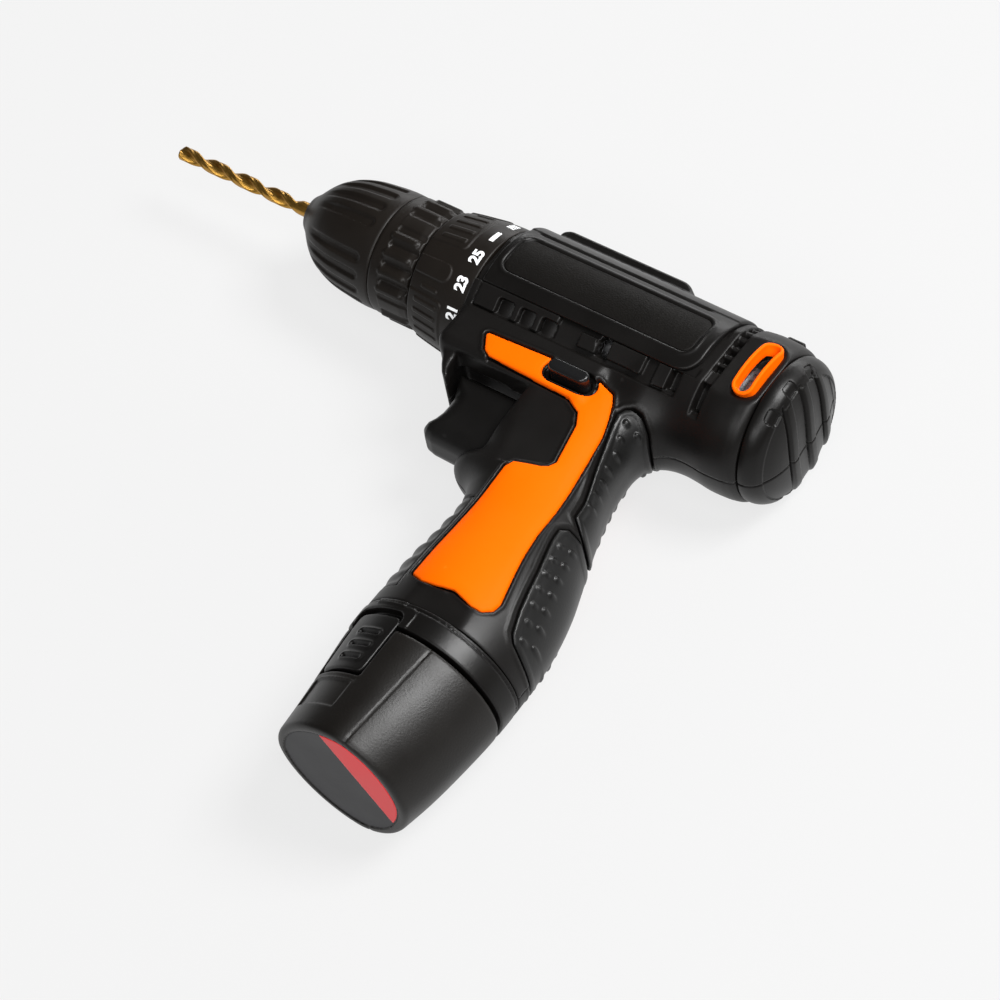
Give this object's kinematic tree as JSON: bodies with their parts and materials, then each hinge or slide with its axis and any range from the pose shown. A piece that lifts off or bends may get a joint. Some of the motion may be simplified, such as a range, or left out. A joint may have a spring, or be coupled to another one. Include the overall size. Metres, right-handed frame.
{
  "type": "cordless drill driver",
  "caption": "Pistol-grip cordless drill driver with a keyless chuck holding a twist bit, a numbered torque collar and a slide-in battery pack.",
  "frame": {"origin": "middle of the footprint of the drill lying on its right side, on the surface under it", "axes": "+X forward along the spindle towards the tip of the bit, +Y down the handle towards the battery, +Z out of the drill's left side"},
  "size_m": [0.2466, 0.1956, 0.0504],
  "materials": {
    "black_housing": "satin moulded",
    "black_cover": "satin moulded",
    "label_black": "fine grained matte",
    "orange_trim": "semi-gloss moulded",
    "soft_grip": "soft satin with raised dots",
    "collar_black": "satin gloss",
    "chuck_black": "satin gloss with ribs",
    "trigger_black": "satin",
    "button_black": "gloss",
    "screw_steel": "blackened",
    "motor_steel": "zinc plated",
    "magnet_grey": "sintered ferrite",
    "copper_winding": "enamelled copper wire",
    "commutator_copper": "turned copper",
    "brush_carbon": "pressed carbon",
    "shaft_steel": "ground",
    "gear_steel": "sintered",
    "gear_nylon": "glass-filled nylon",
    "gearbox_black": "glass-filled nylon",
    "bearing_bronze": "sintered bronze",
    "spring_steel": "bright wire",
    "jaw_steel": "black oxide",
    "bit_gold": "gold-brown titanium nitride coating",
    "switch_black": "moulded",
    "pack_black": "satin moulded",
    "pack_label": "printed label with a red corner",
    "latch_black": "satin with finger ribs",
    "cell_wrap": "shrink sleeve",
    "contact_brass": "tinned spring brass"
  },
  "bodies": {
    "housing": {"housing_left": "black_housing", "housing_right": "black_housing", "inlay_left": "orange_trim", "inlay_right": "orange_trim", "rear_grip_upper": "soft_grip", "rear_grip_lower": "soft_grip", "front_grip": "soft_grip", "top_cover": "black_cover", "label_panels": "label_black", "rear_cap": "black_cover", "vent_rings": "orange_trim", "handle_collar": "black_cover", "housing_screws": "screw_steel", "motor_can": "motor_steel", "motor_end_bell": "gearbox_black", "motor_magnets": "magnet_grey", "motor_brushes": "brush_carbon", "gearbox_case": "gearbox_black", "ring_gear_rear": "gear_steel", "spindle_bearings": "bearing_bronze", "clutch_balls": "shaft_steel", "clutch_washer": "spring_steel", "clutch_spring": "spring_steel", "switch_body": "switch_black", "trigger_spring": "spring_steel", "terminal_block": "switch_black"},
    "spindle": {"carrier_front": "gear_steel", "spindle": "shaft_steel", "chuck_body": "jaw_steel", "chuck_rear_sleeve": "chuck_black"},
    "rear_carrier": {"carrier_rear": "gear_steel"},
    "rotor": {"rotor_core": "motor_steel", "rotor_windings": "copper_winding", "commutator": "commutator_copper", "motor_shaft": "shaft_steel", "motor_pinion": "gear_steel"},
    "chuck_sleeve": {"chuck_front_sleeve": "chuck_black", "chuck_nut": "jaw_steel"},
    "drill_bit": {"drill_bit": "bit_gold"},
    "torque_collar": {"torque_collar": "collar_black"},
    "clutch_nut": {"clutch_nut": "gear_nylon"},
    "speed_selector": {"speed_selector": "button_black", "ring_gear_front": "gear_steel"},
    "trigger": {"trigger": "trigger_black"},
    "direction_button": {"direction_button": "button_black"},
    "battery": {"battery_case": "pack_black", "battery_base": "pack_label", "battery_cells": "cell_wrap", "battery_contacts": "contact_brass"},
    "latch_left": {"battery_latch_left": "latch_black"},
    "latch_right": {"battery_latch_right": "latch_black"},
    "planet_rear_1": {"planet_rear_1": "gear_nylon"},
    "planet_front_1": {"planet_front_1": "gear_steel"},
    "jaw_1": {"chuck_jaw_1": "jaw_steel"},
    "planet_rear_2": {"planet_rear_2": "gear_nylon"},
    "planet_front_2": {"planet_front_2": "gear_steel"},
    "jaw_2": {"chuck_jaw_2": "jaw_steel"},
    "planet_rear_3": {"planet_rear_3": "gear_nylon"},
    "planet_front_3": {"planet_front_3": "gear_steel"},
    "jaw_3": {"chuck_jaw_3": "jaw_steel"}
  },
  "joints": [
    {"name": "spindle_spin", "type": "hinge", "parent": "housing", "child": "spindle", "pos_m": [0.0087, -0.06875, 0.0252], "axis": [1, 0, 0], "continuous": true},
    {"name": "rear_carrier_spin", "type": "hinge", "parent": "housing", "child": "rear_carrier", "pos_m": [-0.0353, -0.06875, 0.0252], "axis": [1, 0, 0], "continuous": true},
    {"name": "rotor_spin", "type": "hinge", "parent": "housing", "child": "rotor", "pos_m": [-0.0713, -0.06875, 0.0252], "axis": [1, 0, 0], "continuous": true},
    {"name": "planet_rear_1_spin", "type": "hinge", "parent": "rear_carrier", "child": "planet_rear_1", "pos_m": [-0.0413, -0.05795, 0.0252], "axis": [1, 0, 0], "continuous": true},
    {"name": "planet_front_1_spin", "type": "hinge", "parent": "spindle", "child": "planet_front_1", "pos_m": [-0.0283, -0.05795, 0.0252], "axis": [1, 0, 0], "continuous": true},
    {"name": "planet_rear_2_spin", "type": "hinge", "parent": "rear_carrier", "child": "planet_rear_2", "pos_m": [-0.0413, -0.07415, 0.03455], "axis": [1, 0, 0], "continuous": true},
    {"name": "planet_front_2_spin", "type": "hinge", "parent": "spindle", "child": "planet_front_2", "pos_m": [-0.0283, -0.07415, 0.03455], "axis": [1, 0, 0], "continuous": true},
    {"name": "planet_rear_3_spin", "type": "hinge", "parent": "rear_carrier", "child": "planet_rear_3", "pos_m": [-0.0413, -0.07415, 0.01585], "axis": [1, 0, 0], "continuous": true},
    {"name": "planet_front_3_spin", "type": "hinge", "parent": "spindle", "child": "planet_front_3", "pos_m": [-0.0283, -0.07415, 0.01585], "axis": [1, 0, 0], "continuous": true},
    {"name": "chuck_sleeve_turn", "type": "hinge", "parent": "spindle", "child": "chuck_sleeve", "pos_m": [0.0487, -0.06875, 0.0252], "axis": [1, 0, 0], "range_deg": [0, 720]},
    {"name": "jaw_1_slide", "type": "slide", "parent": "spindle", "child": "jaw_1", "axis": [-0.9659, 0.2588, 0], "range_m": [0, 0.0081]},
    {"name": "jaw_2_slide", "type": "slide", "parent": "spindle", "child": "jaw_2", "axis": [-0.9659, -0.1294, 0.2241], "range_m": [0, 0.0081]},
    {"name": "jaw_3_slide", "type": "slide", "parent": "spindle", "child": "jaw_3", "axis": [-0.9659, -0.1294, -0.2241], "range_m": [0, 0.0081]},
    {"name": "bit_slide", "type": "slide", "parent": "spindle", "child": "drill_bit", "axis": [1, 0, 0], "range_m": [0, 0.042]},
    {"name": "torque_collar_turn", "type": "hinge", "parent": "housing", "child": "torque_collar", "pos_m": [0.0037, -0.06875, 0.0252], "axis": [1, 0, 0], "range_deg": [-312, 24]},
    {"name": "clutch_nut_slide", "type": "slide", "parent": "torque_collar", "child": "clutch_nut", "axis": [1, 0, 0], "range_m": [-0.002, 0.0002], "deforming": ["clutch_spring"]},
    {"name": "speed_selector_slide", "type": "slide", "parent": "housing", "child": "speed_selector", "axis": [1, 0, 0], "range_m": [0, 0.006]},
    {"name": "trigger_pull", "type": "slide", "parent": "housing", "child": "trigger", "axis": [-1, 0, 0], "range_m": [0, 0.0055], "stiffness_N_per_m": 500, "springref_m": -0.002, "deforming": ["trigger_spring"]},
    {"name": "direction_button_slide", "type": "slide", "parent": "housing", "child": "direction_button", "axis": [0, 0, 1], "range_m": [-0.003, 0.003]},
    {"name": "battery_slide", "type": "slide", "parent": "housing", "child": "battery", "axis": [0, 1, 0], "range_m": [0, 0.045]},
    {"name": "latch_left_press", "type": "slide", "parent": "battery", "child": "latch_left", "axis": [0, 0, -1], "range_m": [0, 0.0022], "stiffness_N_per_m": 400, "springref_m": -0.001},
    {"name": "latch_right_press", "type": "slide", "parent": "battery", "child": "latch_right", "axis": [0, 0, 1], "range_m": [0, 0.0022], "stiffness_N_per_m": 400, "springref_m": -0.001}
  ],
  "couplings": [
    {"joint": "rear_carrier_spin", "follows": "spindle_spin", "ratio": 4},
    {"joint": "rotor_spin", "follows": "spindle_spin", "ratio": 16},
    {"joint": "planet_rear_1_spin", "follows": "spindle_spin", "ratio": -12},
    {"joint": "planet_front_1_spin", "follows": "spindle_spin", "ratio": -3},
    {"joint": "planet_rear_2_spin", "follows": "spindle_spin", "ratio": -12},
    {"joint": "planet_front_2_spin", "follows": "spindle_spin", "ratio": -3},
    {"joint": "planet_rear_3_spin", "follows": "spindle_spin", "ratio": -12},
    {"joint": "planet_front_3_spin", "follows": "spindle_spin", "ratio": -3},
    {"joint": "jaw_1_slide", "follows": "chuck_sleeve_turn", "m_per_rad": 0.00063662},
    {"joint": "jaw_2_slide", "follows": "chuck_sleeve_turn", "m_per_rad": 0.00063662},
    {"joint": "jaw_3_slide", "follows": "chuck_sleeve_turn", "m_per_rad": 0.00063662},
    {"joint": "clutch_nut_slide", "follows": "torque_collar_turn", "m_per_rad": 0.00035}
  ]
}
